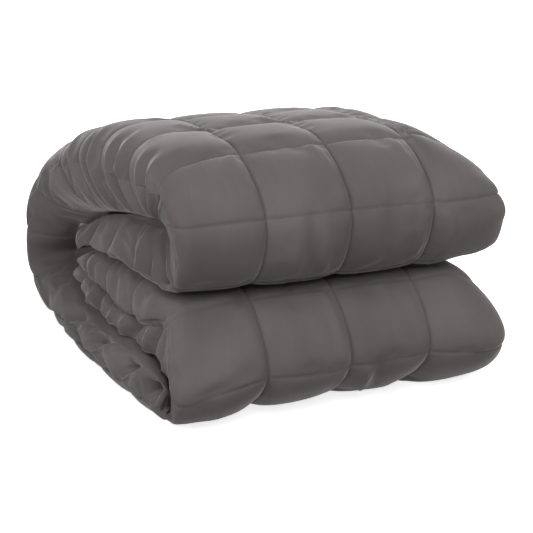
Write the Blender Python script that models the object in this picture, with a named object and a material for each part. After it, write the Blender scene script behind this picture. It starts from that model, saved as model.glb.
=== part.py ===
"""A weighted blanket, quilted in squares and folded into a low stack.

The blanket is folded across its width into a strip four squares wide.  Both ends of
the strip are turned in, and the strip is then closed like a book, with its spine at
the back.  The front shows the two rounded bends.  X runs along the front, +Y is the
back and +Z is up.  The origin is the middle of the footprint, on the surface that
the blanket lies on.  Lengths are in squares of quilting until the mesh is made.
"""

import bmesh
import bpy
import numpy as np

SQUARE = 0.1016             # metres from seam to seam
CROWN = 0.085               # height of a square's middle over its seams
CROWN_SHARPNESS = 2.6       # larger: flatter squares with narrower grooves
UNEVENNESS = 0.016          # slow rise and fall of the cloth
FACE_SQUARENESS = 2.4       # how square the left end is between its crest and its crease
INNER_SQUARENESS = 1.5      # extra squareness of the right edge where layers face each other
EDGE_SEAM_DEPTH = 0.12      # where the last column's seam runs on a turned edge
EDGE_EASE = 0.7             # below 1: the pattern is drawn together towards that seam
FACE_SQUARES = 0.5          # share of a square that shows on the end of a layer
INSIDE_BLEND = 0.35         # share of the inner side over which it leaves the left crease
PLY_CREASE = 0.16           # how deeply the two plies of the lower flap are creased apart
PLY_CREASE_AT = 0.42        # where that crease runs down the left end
PLY_CREASE_WIDTH = 0.14
CLOTH_COLOUR = (0.130, 0.115, 0.110, 1.0)
CLOTH_ROUGHNESS = 0.9


def table(names, *rows):
    """One array for each named column."""
    return {name: np.array(values) for name, values in zip(names.split(), zip(*rows))}


# One row for each seam across the strip, from the free end of the upper flap to the free
# end of the lower flap.  outer is the side that faces out at the bends, inner the side that
# faces the next layer, and crown scales the height of the squares.
FOLD = table(
    "name                    outer_y  outer_z  inner_y  inner_z  crown",
    ("upper flap, free end",    3.10,   1.460,    3.10,   1.510,   0.3),
    ("upper flap 1",            2.50,   1.460,    2.45,   1.710,   0.4),
    ("upper flap 2",            1.55,   1.470,    1.50,   1.960,   0.4),
    ("upper flap 3",            0.55,   1.490,    0.50,   2.150,   0.4),
    ("upper bend, below",      -0.40,   1.555,   -0.03,   2.210,   0.8),
    ("upper bend, front",     -0.735,   2.370,   -0.06,   2.240,   1.0),
    ("upper bend, above",       0.00,   2.930,    0.00,   2.280,   0.8),
    ("top 1",                   1.03,   2.990,    1.00,   2.140,   0.6),
    ("top 2",                   2.02,   2.930,    1.95,   1.990,   0.5),
    ("top 3",                   2.98,   2.750,    2.85,   1.800,   0.5),
    ("top 4",                   3.92,   2.430,    3.60,   1.420,   0.6),
    ("spine, above",            4.83,   1.960,    4.20,   1.080,   0.8),
    ("spine, middle",           5.50,   1.120,    4.58,   0.770,   1.0),
    ("spine, below",            5.50,   0.220,    4.60,   0.680,   1.0),
    ("bottom 1",                4.45,   0.030,    4.10,   0.620,   0.8),
    ("bottom 2",                3.35,   0.030,    3.35,   0.610,   0.8),
    ("bottom 3",                2.20,   0.030,    2.30,   0.610,   0.8),
    ("bottom 4",                1.05,   0.030,    1.20,   0.630,   0.8),
    ("lower bend, below",       0.02,   0.030,    0.05,   0.650,   1.1),
    ("lower bend, front",      -0.79,   0.630,   -0.05,   0.670,   1.2),
    ("lower bend, above",      -0.18,   1.325,    0.00,   0.700,   0.6),
    ("lower flap 1",            0.80,   1.350,    0.90,   0.705,   0.4),
    ("lower flap 2",            1.80,   1.335,    1.85,   0.695,   0.4),
    ("lower flap 3",            2.70,   1.220,    2.80,   0.690,   0.4),
    ("lower flap, free end",    3.50,   0.880,    3.60,   0.720,   0.3),
)
LAST_SEAM = len(FOLD["name"]) - 1
HALF_WIDTH = 2.0            # squares to each side of the middle of the strip
LOWER_FLAP = 20.0           # the seam past which the lower flap starts

# The left end of the strip at the same seams.  The crest is where it stands out furthest
# and the crease is where it meets the next layer: the cloth is drawn forward in between.
# turn is the width of its rounding and square is how square that is.
LEFT_END = table(
    "crest_x crest_y crest_z  crease_x crease_y crease_z  turn  square",
    (-2.00,   3.15,   1.43,    -1.85,    3.10,    1.52,   0.40,    2.2),
    (-2.05,   2.75,   1.54,    -1.93,    2.35,    1.78,   0.36,    2.8),
    (-2.04,   1.95,   1.66,    -1.92,    1.55,    2.00,   0.34,    3.0),
    (-1.98,   0.95,   1.76,    -1.88,    0.60,    2.17,   0.32,    3.2),
    (-1.91,  -0.20,   1.85,    -1.72,    0.05,    2.21,   0.26,    3.4),
    (-1.95,  -0.45,   2.33,    -1.82,   -0.03,    2.25,   0.28,    3.4),
    (-2.03,  -0.30,   2.58,    -1.93,   -0.14,    2.32,   0.40,    3.0),
    (-2.08,   0.66,   2.58,    -2.00,    0.10,    2.29,   0.52,    2.6),
    (-2.12,   1.66,   2.50,    -2.00,    0.46,    2.22,   0.60,    2.5),
    (-2.14,   2.62,   2.38,    -2.00,    1.50,    2.03,   0.68,    2.3),
    (-2.17,   3.38,   2.20,    -1.98,    2.05,    1.90,   0.76,    2.2),
    (-2.20,   4.55,   1.66,    -1.92,    2.45,    1.80,   0.76,    2.2),
    (-2.24,   5.05,   0.95,    -1.82,    3.60,    1.30,   0.66,    2.4),
    (-2.26,   4.90,   0.30,    -1.90,    3.85,    0.82,   0.60,    2.6),
    (-2.24,   3.40,   0.20,    -2.06,    3.05,    0.62,   0.54,    2.8),
    (-2.28,   2.15,   0.22,    -2.06,    1.55,    0.60,   0.50,    3.0),
    (-2.25,   1.00,   0.22,    -2.02,    0.55,    0.60,   0.46,    3.2),
    (-2.19,  -0.10,   0.24,    -1.98,   -0.06,    0.58,   0.42,    3.4),
    (-2.12,  -0.46,   0.31,    -1.92,   -0.14,    0.62,   0.34,    3.4),
    (-1.97,  -0.55,   0.68,    -1.85,   -0.10,    0.69,   0.26,    4.0),
    (-1.94,   0.10,   1.14,    -1.86,    0.05,    0.74,   0.30,    3.4),
    (-2.04,   0.85,   1.18,    -1.94,    0.60,    0.72,   0.38,    2.8),
    (-2.10,   1.80,   1.15,    -1.98,    1.55,    0.71,   0.42,    2.6),
    (-2.12,   2.60,   1.06,    -1.98,    2.55,    0.71,   0.42,    2.4),
    (-2.04,   3.15,   0.95,    -1.90,    3.40,    0.77,   0.40,    2.2),
)

# How the right end is rounded, at some seams: how far it stands out, the width of the
# rounding, how square it is and the height at which it stands out furthest.
RIGHT_END = table(
    "seam  reach  turn  square  crest",
    (0.0,   1.96,  0.60,    2.0,   0.60),
    (1.0,   1.96,  0.64,    1.9,   0.70),
    (2.0,   1.98,  0.72,    1.8,   0.75),
    (3.0,   2.00,  0.80,    1.6,   0.85),
    (4.0,   2.00,  0.82,    1.7,   0.85),
    (4.6,   1.98,  0.84,    1.6,   0.70),
    (5.0,   1.95,  0.90,    1.4,   0.50),
    (5.5,   1.90,  0.92,    1.4,   0.35),
    (6.0,   1.97,  0.92,    1.4,   0.22),
    (7.0,   1.98,  0.95,    1.4,   0.25),
    (8.0,   2.02,  0.90,    1.5,   0.35),
    (9.0,   2.04,  0.85,    1.6,   0.45),
    (12.0,  2.08,  0.60,    2.0,   0.50),
    (14.0,  2.08,  0.55,    2.2,   0.70),
    (18.0,  2.14,  0.40,    3.0,   0.62),
    (19.0,  2.05,  0.44,    2.4,   0.56),
    (20.0,  1.96,  0.58,    1.9,   0.32),
    (21.0,  1.98,  0.65,    1.7,   0.38),
    (24.0,  1.98,  0.50,    2.0,   0.50),
)

# How far the seams drift along the strip towards its left and right ends.
DRIFT = table(
    "seam   left   right",
    (4.0,   0.00,  0.00),
    (5.0,  -0.03, -0.02),
    (6.0,  -0.30,  0.10),
    (8.0,  -0.28,  0.00),
    (10.0, -0.30,  0.00),
    (11.0, -0.05,  0.00),
    (17.0,  0.00,  0.00),
    (18.0, -0.10, -0.06),
    (19.0, -0.30, -0.10),
    (20.0,  0.00,  0.00),
)

# How far the columns differ: the top's rise, and how far the lower bend leans forward.
COLUMNS = table(
    "x      top_rise  lower_lean",
    (-2.0,     0.00,       0.38),
    (-1.5,     0.00,       0.24),
    (-1.0,     0.00,       0.00),
    (0.0,      0.02,      -0.14),
    (1.0,      0.00,      -0.14),
    (2.0,     -0.02,       0.04),
)
RISE_FROM = 2.0             # the height from which the top rises
LEAN_HEIGHT = 0.8           # how far up the lower bend leans, and over which the top rises
LEAN_DEPTH = 0.3            # how far back the lean fades

# Slow waves over the cloth: radians a square along and across the strip, and their share.
WAVES = table(
    "along  across  shift  size",
    (2.1,    1.7,    0.0,   1.0),
    (1.3,   -2.9,    0.8,   0.6),
)

# Where the mesh has lines.  Steps are shares of a square along the strip, closer next
# to a seam.  Depths run from the flat of a layer, 1, to the crest of its edge, 0.
FINE_STEPS = (0.0, 0.10, 0.30, 0.50, 0.70, 0.90)
PLAIN_STEPS = (0.0, 0.15, 0.50, 0.85)
HIDDEN_STEPS = (0.0, 0.5)
MIDDLE_COLUMNS = (-1.0, -0.90, -0.70, -0.5, -0.30, -0.10, 0.0, 0.10, 0.30, 0.5, 0.70, 0.90)
LEFT_SHARES = (0.85, 0.55, 0.25)
RIGHT_SHARES = (0.0, 0.5, 1.0)
TURN_DEPTHS = (0.06, 0.20, 0.40, 0.62, 0.84)
RIGHT_FACE_DEPTHS = (0.0, 0.30, 0.70)
INSIDE_SHARES = (1.0, 0.66, 0.33)
LEFT_FACE_DEPTHS = (1.0, 0.84, 0.66, 0.50, 0.38, 0.24, 0.10, 0.0)


def spline(values, at):
    """The smooth curve through one value a seam, read at fractional seams."""
    ends = 2 * values[0] - values[1], 2 * values[-1] - values[-2]
    padded = np.concatenate([[ends[0]], values, [ends[1]]])
    first = np.minimum(at.astype(int), len(values) - 2)
    t = at - first
    a, b, c, d = (padded[first + i] for i in range(4))
    cubic = 3 * b - a - 3 * c + d
    return 0.5 * (2 * b + (c - a) * t + (2 * a - 5 * b + 4 * c - d) * t**2 + cubic * t**3)


def eased(rows, name, at):
    """A column of a table that has a seam column, eased from row to row."""
    place = np.interp(at, rows["seam"], np.arange(len(rows["seam"])))
    first = np.minimum(place.astype(int), len(rows["seam"]) - 2)
    t = place - first
    t = t * t * (3 - 2 * t)
    return rows[name][first] * (1 - t) + rows[name][first + 1] * t


def rounded(depth, square):
    """How far a turned edge stands out, from 0 at depth 1 to 1 at depth 0."""
    return (1 - depth**square) ** (1 / square)


def side_yz(side, seam):
    return [spline(FOLD[f"{side}_{axis}"], seam) for axis in "yz"]


def stacked(x, y, z):
    return np.stack(np.broadcast_arrays(x, y, z), axis=-1)


def drifted(seam, x):
    """The place along the strip of a seam that drifts towards the ends."""
    left = eased(DRIFT, "left", seam) * np.clip(-1 - x, 0, 1.2) ** 1.4
    right = eased(DRIFT, "right", seam) * np.clip(x - 1, 0, 1.2)
    return np.clip(seam + left + right, 0, LAST_SEAM)


def left_end(seam):
    return {name: spline(values, seam) for name, values in LEFT_END.items()}


def left_edge_x(seam):
    """Where the flat of a layer starts to turn, on the left."""
    end = left_end(seam)
    return end["crest_x"] + end["turn"]


def right_edge_x(seam):
    return eased(RIGHT_END, "reach", seam) - eased(RIGHT_END, "turn", seam)


def flat(seam, x):
    return stacked(x, *side_yz("outer", drifted(seam, x)))


def left_turn(seam, depth):
    """The left edge of the outer side: depth 1 at the flat and 0 at the crest."""
    end = left_end(seam)
    x = end["crest_x"] + end["turn"] * (1 - rounded(depth, end["square"]))
    y, z = side_yz("outer", drifted(seam, x))
    share = 1 - depth
    return stacked(x, y + (end["crest_y"] - y) * share, z + (end["crest_z"] - z) * share)


def left_face(seam, depth):
    """The left end from the crest, depth 0, to the crease, depth 1."""
    end = left_end(seam)
    inset = end["crease_x"] - end["crest_x"]
    x = end["crest_x"] + inset * (1 - rounded(depth, FACE_SQUARENESS))
    y = end["crest_y"] + (end["crease_y"] - end["crest_y"]) * depth
    z = end["crest_z"] + (end["crease_z"] - end["crest_z"]) * depth
    plies = np.clip(seam - LOWER_FLAP, 0, 1)
    crease = np.exp(-(((depth - PLY_CREASE_AT) / PLY_CREASE_WIDTH) ** 2))
    return stacked(x + plies * PLY_CREASE * crease, y, z)


def right_turn(seam, depth, side="outer"):
    """The right edge of one side: depth 1 at the flat and 0 at the crest."""
    at = drifted(seam, np.full_like(seam, HALF_WIDTH))
    own = side_yz(side, at)
    other = side_yz("inner" if side == "outer" else "outer", at)
    crest = eased(RIGHT_END, "crest", seam)
    square = eased(RIGHT_END, "square", seam)
    if side == "inner":
        crest = 1 - crest
        square = square + INNER_SQUARENESS
    share = depth + crest * (1 - depth)
    turn = eased(RIGHT_END, "turn", seam)
    x = eased(RIGHT_END, "reach", seam) - turn + turn * rounded(depth, square)
    return stacked(x, *(own[i] * share + other[i] * (1 - share) for i in range(2)))


def inside(seam, place):
    """The side that faces the next layer, from the left crease, 0, to the right, 1."""
    left = left_face(seam, np.ones_like(seam))
    right = right_turn(seam, np.ones_like(seam), "inner")
    x = left[..., 0] * (1 - place) + right[..., 0] * place
    straight = stacked(x, *side_yz("inner", seam))
    near = np.clip(1 - place / INSIDE_BLEND, 0, 1)[..., None] ** 2
    return left * near + straight * (1 - near)


def lean(points):
    """Moves the points by the small differences between the columns."""
    x, y, z = (points[..., i] for i in range(3))
    high = np.clip((z - RISE_FROM) / LEAN_HEIGHT, 0, 1)
    low = np.clip(1 - z / LEAN_HEIGHT, 0, 1) * np.clip(-y / LEAN_DEPTH, 0, 1)
    z = z + high * np.interp(x, COLUMNS["x"], COLUMNS["top_rise"])
    y = y - low * np.interp(x, COLUMNS["x"], COLUMNS["lower_lean"])
    return np.stack([x, y, z], axis=-1)


def pattern_on_turn(x, depth):
    """How many squares from the middle a point of a turned edge lies, along the cloth."""
    to_seam = (1 - depth) / (1 - EDGE_SEAM_DEPTH)
    reached = np.abs(x) + (HALF_WIDTH - np.abs(x)) * np.clip(to_seam, 0, 1) ** EDGE_EASE
    return np.sign(x) * (reached + FACE_SQUARES * np.clip(to_seam - 1, 0, 1))


def ring(rows):
    """The skin before quilting: its points, pattern and share of quilting.

    There is a row for each line across the strip.  Its columns go round the strip, from
    the left crest over the outer side to the right crest, and back over the inner side.
    """
    columns = []

    def add(surface, places, pattern, quilted):
        seam, place = np.meshgrid(rows, places, indexing="ij")
        points = surface(seam, place)
        columns.append((points, pattern(points[..., 0], place), quilted(place)))

    def left_part(seam, share):
        return flat(seam, -1 + (left_edge_x(seam) + 1) * share)

    def right_part(seam, share):
        return flat(seam, 1 + (right_edge_x(seam) - 1) * share)

    def across(x, place):
        return x

    def beyond(x, depth):
        return np.sign(x) * (HALF_WIDTH + FACE_SQUARES * depth)

    add(left_turn, TURN_DEPTHS, pattern_on_turn, np.ones_like)
    add(left_part, LEFT_SHARES, across, np.ones_like)
    add(flat, MIDDLE_COLUMNS, across, np.ones_like)
    add(right_part, RIGHT_SHARES, across, np.ones_like)
    add(right_turn, TURN_DEPTHS[::-1], pattern_on_turn, np.ones_like)
    add(lambda seam, depth: right_turn(seam, depth, "inner"), RIGHT_FACE_DEPTHS, beyond,
        lambda depth: 1 - depth)
    add(inside, INSIDE_SHARES, beyond, np.zeros_like)
    add(left_face, LEFT_FACE_DEPTHS, beyond, lambda depth: 1 - depth**3)
    points, pattern, quilted = (np.concatenate(part, axis=1) for part in zip(*columns))
    return lean(points), pattern, quilted


def crown_shape(place):
    return 1 - np.abs(2 * (place - np.floor(place)) - 1) ** CROWN_SHARPNESS


def quilt_height(seam, pattern):
    """How far the quilted skin stands over the line of its seams."""
    past = np.clip(np.abs(pattern) - HALF_WIDTH, 0, 1)
    squares = CROWN * crown_shape(seam) * (crown_shape(pattern) + past)
    waves = zip(*WAVES.values())
    slow = sum(size * np.sin(along * seam + over * pattern + shift)
               for along, over, shift, size in waves)
    return spline(FOLD["crown"], seam) * (squares + UNEVENNESS * slow)


def ring_normals(points):
    """Outward normals of a grid whose columns close into a ring."""
    wrapped = np.concatenate([points[:, -1:], points, points[:, :1]], axis=1)
    normals = np.cross(wrapped[:, 2:] - wrapped[:, :-2], np.gradient(points, axis=0))
    return normals / np.maximum(np.linalg.norm(normals, axis=-1, keepdims=True), 1e-9)


def steps_at(seam):
    """The steps of one square along the strip: more where it shows."""
    if seam < 3 or seam >= LAST_SEAM - 2:
        return HIDDEN_STEPS
    if seam < 4 or 13 <= seam < 18 or seam >= 20:
        return PLAIN_STEPS
    return FINE_STEPS


def skin():
    """The quilted skin, as rows of points in squares."""
    lines = [seam + step for seam in range(LAST_SEAM) for step in steps_at(seam)]
    rows = np.array(lines + [float(LAST_SEAM)])
    points, pattern, quilted = ring(rows)
    height = quilt_height(rows[:, None] + 0 * pattern, pattern) * quilted
    points = points + ring_normals(points) * height[..., None]
    points[..., 2] = np.maximum(points[..., 2], 0.0)
    return points


def blanket_mesh():
    points = skin()
    low, high = points.min(axis=(0, 1)), points.max(axis=(0, 1))
    middle = np.array([(low[0] + high[0]) / 2, (low[1] + high[1]) / 2, 0.0])
    bm = bmesh.new()
    rows = [[bm.verts.new(point) for point in row] for row in (points - middle) * SQUARE]
    for row, following in zip(rows, rows[1:]):
        for k in range(len(row)):
            bm.faces.new((row[k - 1], row[k], following[k], following[k - 1]))
    for row in (rows[0], rows[-1]):
        bm.faces.new(row)
    bmesh.ops.triangulate(bm, faces=bm.faces)
    bmesh.ops.recalc_face_normals(bm, faces=bm.faces)
    for face in bm.faces:
        face.smooth = True
    mesh = bpy.data.meshes.new("weighted_blanket")
    bm.to_mesh(mesh)
    bm.free()
    return mesh


def cloth_material():
    material = bpy.data.materials.new("brushed_cloth")
    material.use_nodes = True
    shader = material.node_tree.nodes["Principled BSDF"]
    shader.inputs["Base Color"].default_value = CLOTH_COLOUR
    shader.inputs["Roughness"].default_value = CLOTH_ROUGHNESS
    return material


def main():
    for old in list(bpy.data.objects):
        bpy.data.objects.remove(old, do_unlink=True)
    mesh = blanket_mesh()
    mesh.materials.append(cloth_material())
    blanket = bpy.data.objects.new("weighted_blanket", mesh)
    bpy.context.scene.collection.objects.link(blanket)


main()
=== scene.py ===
"""The look of the folded, quilted weighted blanket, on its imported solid.

The blanket lies folded: a strip four squares wide, its two ends turned in, closed like a
book with its spine at the back.  Shapes are worked out in squares of quilting, with X along
the front, +Y to the back and +Z up, and are moved into the frame in metres at the end.
"""

import math

import bmesh
import bpy
import numpy as np
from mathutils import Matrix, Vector


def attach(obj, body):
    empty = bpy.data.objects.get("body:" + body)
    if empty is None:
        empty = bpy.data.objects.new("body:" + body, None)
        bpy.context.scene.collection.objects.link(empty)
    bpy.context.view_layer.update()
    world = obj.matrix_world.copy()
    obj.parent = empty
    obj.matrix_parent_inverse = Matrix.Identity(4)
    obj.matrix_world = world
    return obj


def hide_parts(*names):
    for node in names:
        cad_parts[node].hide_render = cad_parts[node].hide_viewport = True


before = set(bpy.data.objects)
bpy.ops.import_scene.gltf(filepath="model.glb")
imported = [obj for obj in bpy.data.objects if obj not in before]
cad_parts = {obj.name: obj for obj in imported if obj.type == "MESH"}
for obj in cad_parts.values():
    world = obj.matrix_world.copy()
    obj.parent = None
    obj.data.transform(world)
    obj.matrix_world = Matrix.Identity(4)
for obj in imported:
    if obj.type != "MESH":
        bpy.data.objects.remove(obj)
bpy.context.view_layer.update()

SQUARE = 0.1016                  # metres from seam to seam
MIDDLE = (-0.074, 2.417, 0.0)    # the middle of the footprint, in squares
TINY = 1e-9                      # keeps a length that is divided by from being zero


def table(names, *rows):
    """One array for each named column."""
    return {name: np.array(values) for name, values in zip(names.split(), zip(*rows))}


def unit(vectors):
    """The vectors with their lengths made 1."""
    return vectors / np.maximum(np.linalg.norm(vectors, axis=-1, keepdims=True), TINY)


def add_object(name, data):
    """A new object in the scene."""
    made = bpy.data.objects.new(name, data)
    bpy.context.scene.collection.objects.link(made)
    return made


# ---------------------------------------------------------------- the folded strip

# One row for each seam across the strip, from the free end of the upper flap to the free
# end of the lower flap.  outer is the side that faces out at the bends, inner the side that
# faces the next layer.  crown scales the height of the squares, and valley is how deep their
# seam lies under it.
FOLD = table(
    "name                    outer_y  outer_z  inner_y  inner_z  crown  valley",
    ("upper flap, free end",    3.10,   1.430,    3.10,   1.600,   0.3,    1.0),
    ("upper flap 1",            2.50,   1.460,    2.45,   1.710,   0.4,    1.0),
    ("upper flap 2",            1.55,   1.470,    1.50,   1.960,   0.4,    1.0),
    ("upper flap 3",            0.55,   1.510,    0.50,   2.150,   0.4,    1.0),
    ("upper bend, below",      -0.40,   1.610,   -0.03,   2.210,   0.6,    0.5),
    ("upper bend, front",     -0.735,   2.370,   -0.06,   2.240,   1.0,    0.3),
    ("upper bend, above",       0.00,   2.930,    0.00,   2.280,   0.8,    0.7),
    ("top 1",                   1.03,   2.990,    1.00,   2.140,   0.6,    0.9),
    ("top 2",                   2.02,   2.930,    1.95,   1.990,   0.5,    0.9),
    ("top 3",                   2.98,   2.750,    2.85,   1.800,   0.5,    1.0),
    ("top 4",                   3.92,   2.430,    3.60,   1.420,   0.6,    1.0),
    ("spine, above",            4.83,   1.960,    4.20,   1.080,   0.8,    1.0),
    ("spine, middle",           5.50,   1.120,    4.58,   0.770,   1.0,    1.0),
    ("spine, below",            5.50,   0.220,    4.60,   0.680,   1.0,    1.0),
    ("bottom 1",                4.45,   0.030,    4.10,   0.620,   0.8,    1.0),
    ("bottom 2",                3.35,   0.030,    3.35,   0.610,   0.8,    1.0),
    ("bottom 3",                2.20,   0.030,    2.30,   0.610,   0.8,    1.0),
    ("bottom 4",                1.05,   0.030,    1.20,   0.630,   0.8,    1.0),
    ("lower bend, below",       0.02,   0.030,    0.05,   0.650,   1.1,    0.7),
    ("lower bend, front",      -0.79,   0.630,   -0.05,   0.670,   1.0,   0.35),
    ("lower bend, above",      -0.28,   1.350,    0.00,   0.700,   0.6,    0.5),
    ("lower flap 1",            0.80,   1.410,    0.90,   0.705,   0.4,    1.0),
    ("lower flap 2",            1.80,   1.370,    1.85,   0.695,   0.4,    1.0),
    ("lower flap 3",            2.70,   1.220,    2.80,   0.690,   0.4,    1.0),
    ("lower flap, free end",    3.50,   0.930,    3.60,   0.700,   0.3,    1.0),
)
LAST_SEAM = len(FOLD["name"]) - 1

# The left end of the strip at the same seams.  The crest is where it stands out furthest
# and the crease is where it meets the next layer: the cloth is drawn forward in between.
# turn is the width of its rounding and square is how square that is.  face is how square
# the cloth lies from the crest to the crease, and puff is how far it is quilted there.
LEFT_END = table(
    "crest_x crest_y crest_z  crease_x crease_y crease_z  turn  square  face  puff",
    (-2.12,   2.82,   1.23,    -1.90,    3.39,    1.34,   0.30,    2.4,   1.7,   0.80),
    (-2.02,   2.69,   1.31,    -1.80,    2.59,    1.70,   0.30,    2.8,   1.7,   1.00),
    (-2.02,   1.80,   1.44,    -1.80,    1.70,    1.91,   0.28,    3.0,   1.8,   1.00),
    (-1.98,   0.81,   1.55,    -1.78,    0.80,    2.05,   0.22,    3.2,   2.0,   1.00),
    (-1.92,  -0.41,   1.70,    -1.75,    0.11,    2.10,   0.18,    3.0,   1.4,   0.40),
    (-1.95,  -0.54,   2.38,    -1.80,    0.02,    2.18,   0.18,    2.8,   1.4,   0.40),
    (-2.02,  -0.37,   2.64,    -1.90,   -0.05,    2.29,   0.30,    3.0,   1.6,   0.50),
    (-2.08,   0.57,   2.60,    -1.92,    0.17,    2.26,   0.52,    2.6,   2.0,   0.60),
    (-2.12,   1.53,   2.51,    -1.90,    0.94,    2.13,   0.60,    2.5,   2.0,   0.60),
    (-2.14,   2.51,   2.42,    -1.88,    1.75,    1.96,   0.68,    2.3,   2.0,   0.50),
    (-2.17,   3.33,   2.22,    -1.80,    2.49,    1.77,   0.76,    2.2,   1.9,   0.40),
    (-2.20,   4.61,   1.64,    -1.64,    3.57,    1.47,   0.76,    2.2,   1.5,   0.30),
    (-2.24,   5.12,   0.91,    -1.56,    4.68,    0.88,   0.66,    2.4,   1.4,   0.30),
    (-2.26,   4.85,   0.31,    -1.70,    4.76,    0.49,   0.60,    2.6,   1.4,   0.50),
    (-2.24,   3.25,   0.18,    -2.10,    2.04,    0.49,   0.54,    2.8,   2.4,   1.00),
    (-2.28,   1.75,   0.23,    -2.14,    1.02,    0.60,   0.50,    3.0,   2.4,   1.00),
    (-2.25,   0.60,   0.28,    -2.12,   -0.01,    0.67,   0.46,    3.2,   2.4,   1.00),
    (-2.14,  -0.04,   0.25,    -2.04,   -0.33,    0.54,   0.42,    3.4,   1.8,   0.40),
    (-1.99,  -0.23,   0.17,    -1.88,   -0.07,    0.28,   0.26,    2.8,   1.2,   0.15),
    (-2.07,  -0.60,   0.56,    -1.88,   -0.12,    0.45,   0.20,    3.4,   1.1,   0.15),
    (-1.94,  -0.33,   1.16,    -2.02,   -0.19,    0.66,   0.24,    3.4,   1.6,   1.00),
    (-2.04,   0.71,   1.01,    -2.06,    0.37,    0.67,   0.38,    2.8,   2.2,   1.00),
    (-2.10,   1.62,   1.03,    -2.08,    1.31,    0.62,   0.42,    2.6,   2.2,   1.00),
    (-2.12,   2.36,   1.06,    -2.08,    2.24,    0.59,   0.42,    2.4,   2.2,   1.00),
    (-2.06,   3.08,   1.00,    -1.98,    3.49,    0.67,   0.40,    2.2,   2.2,   0.80),
)

LOWER_FLAP = 20.0           # the seam past which the lower flap starts

# The left end of the lower flap shows two plies, one over the other: how far they lie
# behind the crest, down the end.
PLIES = table(
    "depth  inset",
    (0.00,  0.000),
    (0.05,  0.030),
    (0.10,  0.090),
    (0.15,  0.115),
    (0.22,  0.090),
    (0.40,  0.025),
    (0.60,  0.000),
    (0.80,  0.005),
    (0.92,  0.040),
    (1.00,  0.110),
)

# How the right end is rounded, at some seams: how far it stands out, the width of the
# rounding, how square it is and the height at which it stands out furthest.
RIGHT_END = table(
    "seam  reach  turn  square  crest",
    (0.0,   1.96,  0.60,    2.0,   0.60),
    (1.0,   1.96,  0.64,    1.9,   0.70),
    (2.0,   1.98,  0.72,    1.8,   0.75),
    (3.0,   2.00,  0.80,    1.6,   0.85),
    (4.0,   2.00,  0.82,    1.7,   0.85),
    (4.6,   1.98,  0.84,    1.6,   0.70),
    (5.0,   1.95,  0.86,    1.4,   0.50),
    (5.5,   1.90,  0.80,    1.4,   0.35),
    (6.0,   1.97,  0.86,    1.4,   0.22),
    (7.0,   1.98,  0.88,    1.4,   0.25),
    (8.0,   2.02,  0.90,    1.5,   0.35),
    (9.0,   2.04,  0.85,    1.6,   0.45),
    (12.0,  2.08,  0.60,    2.0,   0.50),
    (14.0,  2.08,  0.55,    2.2,   0.70),
    (18.0,  2.14,  0.40,    3.0,   0.62),
    (19.0,  2.05,  0.44,    2.4,   0.56),
    (20.0,  1.96,  0.58,    1.9,   0.32),
    (21.0,  1.98,  0.65,    1.7,   0.38),
    (24.0,  1.98,  0.50,    2.0,   0.50),
)

# How far the seams drift along the strip towards its left and right ends.
DRIFT = table(
    "seam   left   right",
    (4.0,   0.00,  0.00),
    (5.0,  -0.03, -0.02),
    (6.0,  -0.30,  0.10),
    (8.0,  -0.28,  0.00),
    (10.0, -0.30,  0.00),
    (11.0, -0.05,  0.00),
    (17.0,  0.00,  0.00),
    (18.0, -0.10, -0.06),
    (19.0, -0.26, -0.10),
    (20.0, -0.15,  0.00),
    (21.0,  0.00,  0.00),
)

DRIFT_FROM = 1.0            # the seams drift past this distance from the middle
DRIFT_WIDTH = 1.2           # and over this width
DRIFT_CURVE = 1.4           # larger: the drift at the left starts more slowly

# How far the columns differ: the top's rise, and how far the lower bend leans forward.
COLUMNS = table(
    "x      top_rise  lower_lean",
    (-2.0,     0.00,       0.38),
    (-1.5,     0.00,       0.24),
    (-1.0,     0.00,       0.00),
    (0.0,      0.02,      -0.14),
    (1.0,      0.00,      -0.14),
    (2.0,     -0.02,       0.04),
)
RISE_FROM = 2.0             # the height from which the top rises
LEAN_HEIGHT = 0.8           # how far up the lower bend leans, and over which the top rises
LEAN_DEPTH = 0.3            # how far back the lean fades

INNER_SQUARENESS = 1.5      # extra squareness of the edges where layers face each other
INSIDE_BLEND = 0.35         # how far in the inner side follows the crease of the left end


def curve(a, b, c, d, t):
    """The smooth curve from b to c, with a before them and d after, t of the way along."""
    cubic = 3 * b - a - 3 * c + d
    return 0.5 * (2 * b + (c - a) * t + (2 * a - 5 * b + 4 * c - d) * t**2 + cubic * t**3)


def spline(values, at):
    """The smooth curve through one value a seam, read at fractional seams."""
    ends = 2 * values[0] - values[1], 2 * values[-1] - values[-2]
    padded = np.concatenate([[ends[0]], values, [ends[1]]])
    first = np.minimum(at.astype(int), len(values) - 2)
    return curve(*(padded[first + i] for i in range(4)), at - first)


def eased(rows, name, at):
    """A column of a table with a seam column, eased from row to row."""
    place = np.interp(at, rows["seam"], np.arange(len(rows["seam"])))
    first = np.minimum(place.astype(int), len(rows["seam"]) - 2)
    t = place - first
    t = t * t * (3 - 2 * t)
    return rows[name][first] * (1 - t) + rows[name][first + 1] * t


def rounded(depth, square):
    """How far a turned edge stands out, from 0 at depth 1 to 1 at depth 0."""
    return (1 - depth**square) ** (1 / square)


def side_yz(side, seam):
    """The y and z of a side, outer or inner, before its ends turn."""
    return [spline(FOLD[f"{side}_{axis}"], seam) for axis in "yz"]


def stacked(x, y, z):
    """Points from their coordinates."""
    return np.stack(np.broadcast_arrays(x, y, z), axis=-1)


def left_turn(seam, depth):
    """The left edge of the outer side: depth 1 at the flat and 0 at the crest."""
    end = {name: spline(values, seam) for name, values in LEFT_END.items()}
    x = end["crest_x"] + end["turn"] * (1 - rounded(depth, end["square"]))
    y, z = side_yz("outer", drifted(seam, x))
    share = 1 - depth
    return stacked(x, y + (end["crest_y"] - y) * share, z + (end["crest_z"] - z) * share)


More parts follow.
